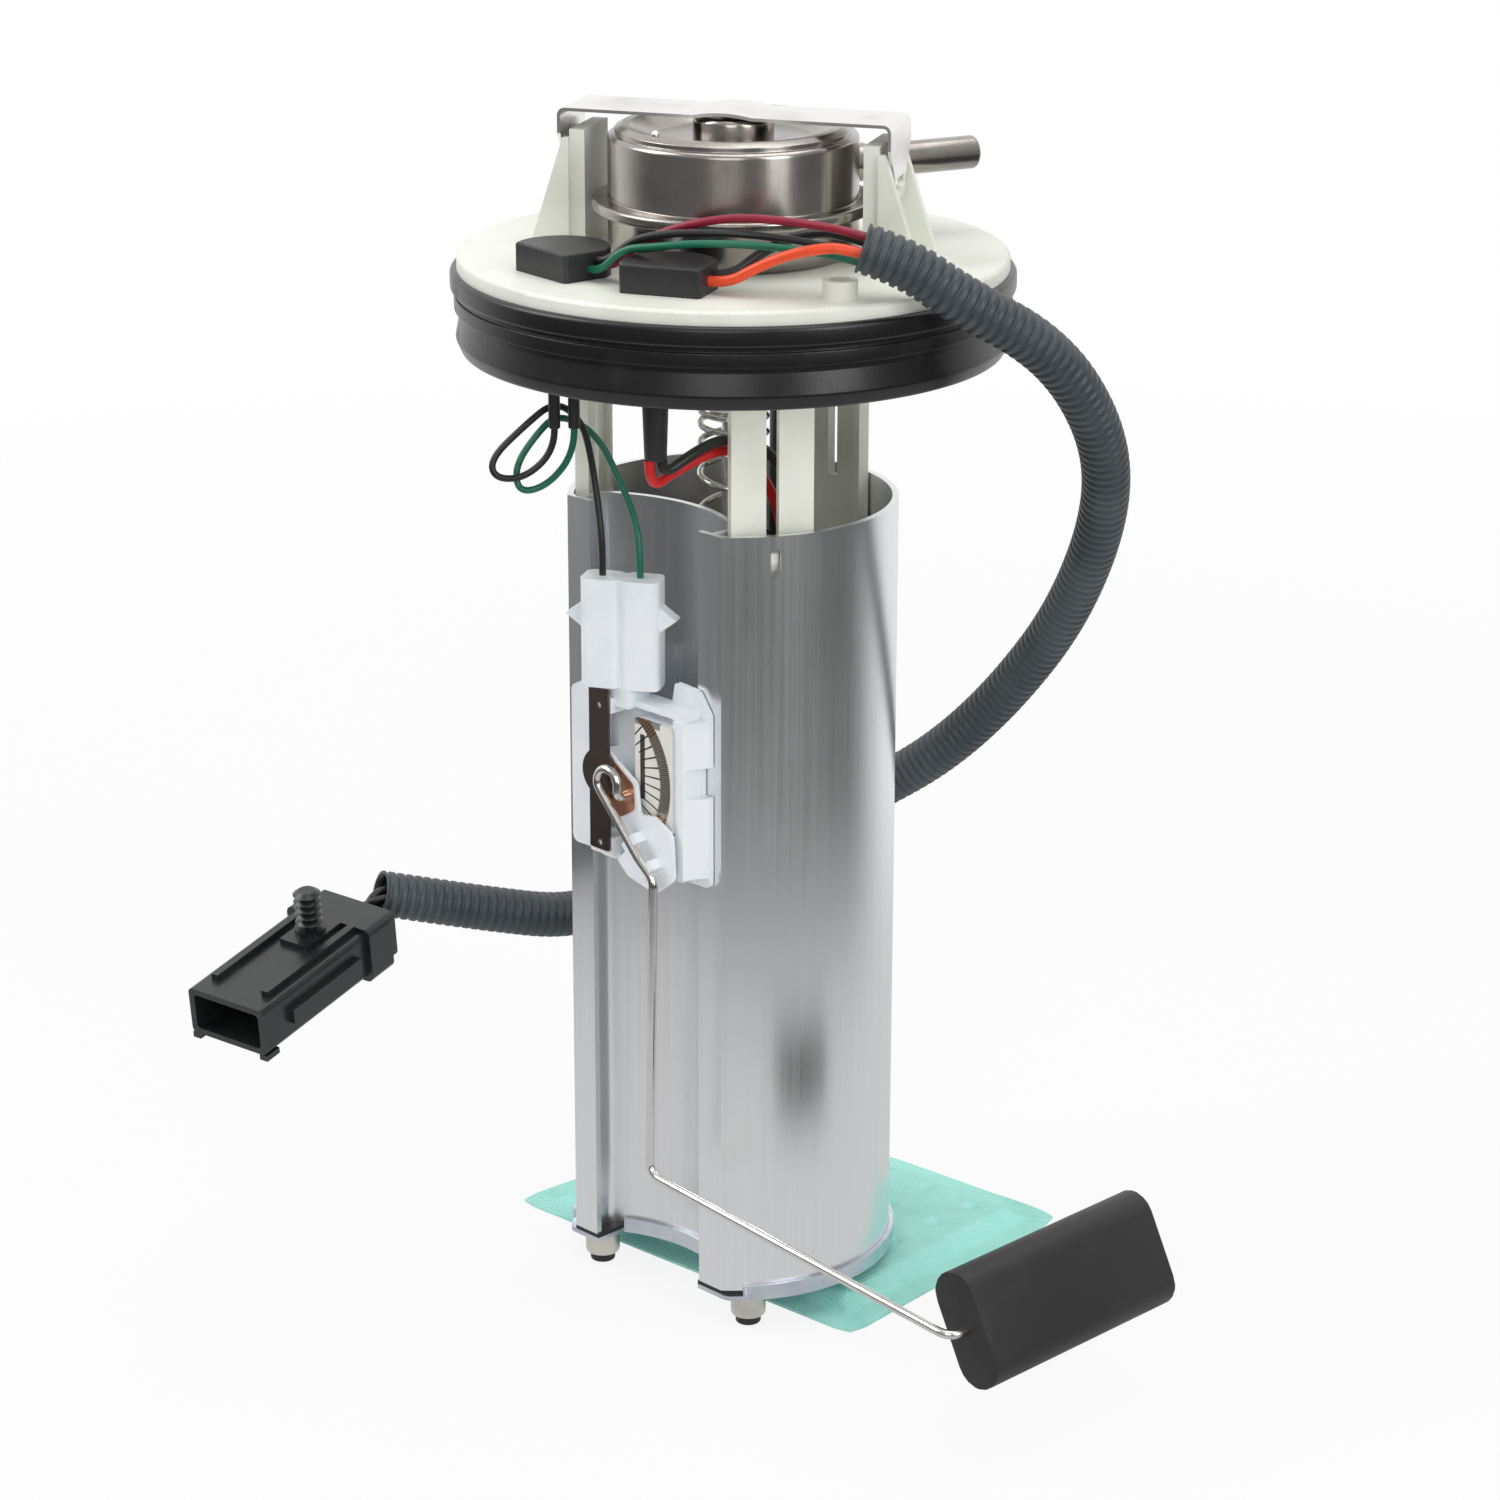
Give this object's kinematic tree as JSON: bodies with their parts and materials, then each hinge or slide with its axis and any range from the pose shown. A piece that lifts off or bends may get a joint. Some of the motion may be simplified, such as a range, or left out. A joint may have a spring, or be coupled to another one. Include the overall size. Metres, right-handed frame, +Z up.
{
  "type": "fuel pump module",
  "caption": "In-tank fuel pump module: cream flange with filter can and seal, sprung aluminium reservoir on three legs, level sender with float arm, mint strainer and corrugated harness.",
  "frame": {"origin": "on the main axis, at the underside of the flange plate", "axes": "+Z up along the axis of the plate, rod and reservoir; -Y is the side of the level sender; the float lies towards +X"},
  "size_m": [0.2086, 0.2075, 0.3112],
  "materials": {
    "plate_cream": "matte cream acetal moulding",
    "seal_rubber": "black rubber, soft sheen",
    "can_steel": "dark nickel-plated steel, polished",
    "bright_steel": "bright spring steel",
    "leg_cream": "cream acetal, slightly translucent",
    "block_black": "black potted plastic, soft gloss",
    "tube_aluminium": "satin extruded aluminium",
    "cap_zinc": "bluish zinc plate",
    "foot_zinc": "yellowish zinc plate",
    "gasket_black": "black rubber",
    "sock_teal": "mint woven strainer cloth",
    "sender_white": "white translucent nylon",
    "card_ceramic": "pale ceramic with metal film",
    "copper": "bare copper alloy",
    "float_black": "black closed-cell nitrile, satin",
    "conduit_slate": "slate-black corrugated polymer",
    "connector_black": "black glass-filled nylon",
    "wire_maroon": "maroon PVC",
    "wire_red": "orange-red PVC",
    "wire_green": "green PVC",
    "wire_black": "black PVC",
    "lead_red": "red fluoropolymer",
    "pump_steel": "plated steel shell",
    "inner_plastic": "natural acetal",
    "filter_paper": "pleated paper",
    "terminal_tin": "tinned brass"
  },
  "bodies": {
    "flange": {"flange_plate": "plate_cream", "tank_seal": "seal_rubber", "filter_can": "can_steel", "can_ball": "bright_steel", "filter_element": "filter_paper", "pressure_regulator": "can_steel", "outlet_pipe": "can_steel", "retaining_strap": "bright_steel", "pump_wire_block": "block_black", "sender_wire_block": "block_black", "pump_grommet": "block_black", "sender_grommets": "block_black", "leg_right": "leg_cream", "leg_left": "leg_cream", "leg_rear": "leg_cream", "guide_rod": "bright_steel", "rod_clip": "bright_steel", "coil_spring": "bright_steel", "hose_clamp_upper": "bright_steel", "outlet_hose": "block_black", "pump_lead_black": "wire_black", "pump_lead_red": "lead_red", "sender_lead_black": "wire_black", "sender_lead_green": "wire_green", "conduit": "conduit_slate", "wire_maroon": "wire_maroon", "wire_green": "wire_green", "wire_black_signal": "wire_black", "wire_red": "wire_red", "wire_black_power": "wire_black", "harness_connector": "connector_black", "connector_terminals": "terminal_tin", "connector_clip": "connector_black", "connector_wires": "wire_black"},
    "reservoir": {"reservoir_tube": "tube_aluminium", "base_gasket": "gasket_black", "base_cap": "cap_zinc", "cap_feet": "foot_zinc", "foot_tips": "gasket_black", "strainer_sock": "sock_teal", "strainer_neck": "inner_plastic", "check_valve": "gasket_black", "pump_carrier": "inner_plastic", "pump_isolator": "gasket_black", "pump_body": "pump_steel", "pump_top_cap": "inner_plastic", "pump_base_cap": "inner_plastic", "pump_plug": "inner_plastic", "hose_clamp_lower": "bright_steel", "sender_bracket": "sender_white", "sender_plug": "sender_white", "resistor_card": "card_ceramic", "contact_strap": "bright_steel"},
    "float_arm": {"float_arm": "bright_steel", "arm_holder": "sender_white", "wiper": "copper", "float_clip": "bright_steel"},
    "float": {"float_block": "float_black"}
  },
  "joints": [
    {"name": "reservoir_slide", "type": "slide", "parent": "flange", "child": "reservoir", "axis": [0, 0, 1], "range_m": [0, 0.025], "stiffness_N_per_m": 1500, "springref_m": -0.02, "deforming": ["coil_spring", "outlet_hose", "pump_lead_black", "pump_lead_red", "sender_lead_black", "sender_lead_green"]},
    {"name": "arm_pivot", "type": "hinge", "parent": "reservoir", "child": "float_arm", "pos_m": [-0.0049, -0.041, -0.1244], "axis": [0, -1, 0], "range_deg": [0, 60]},
    {"name": "float_spin", "type": "hinge", "parent": "float_arm", "child": "float", "pos_m": [0.1198, -0.006, -0.2363], "axis": [0, -1, 0], "continuous": true}
  ]
}
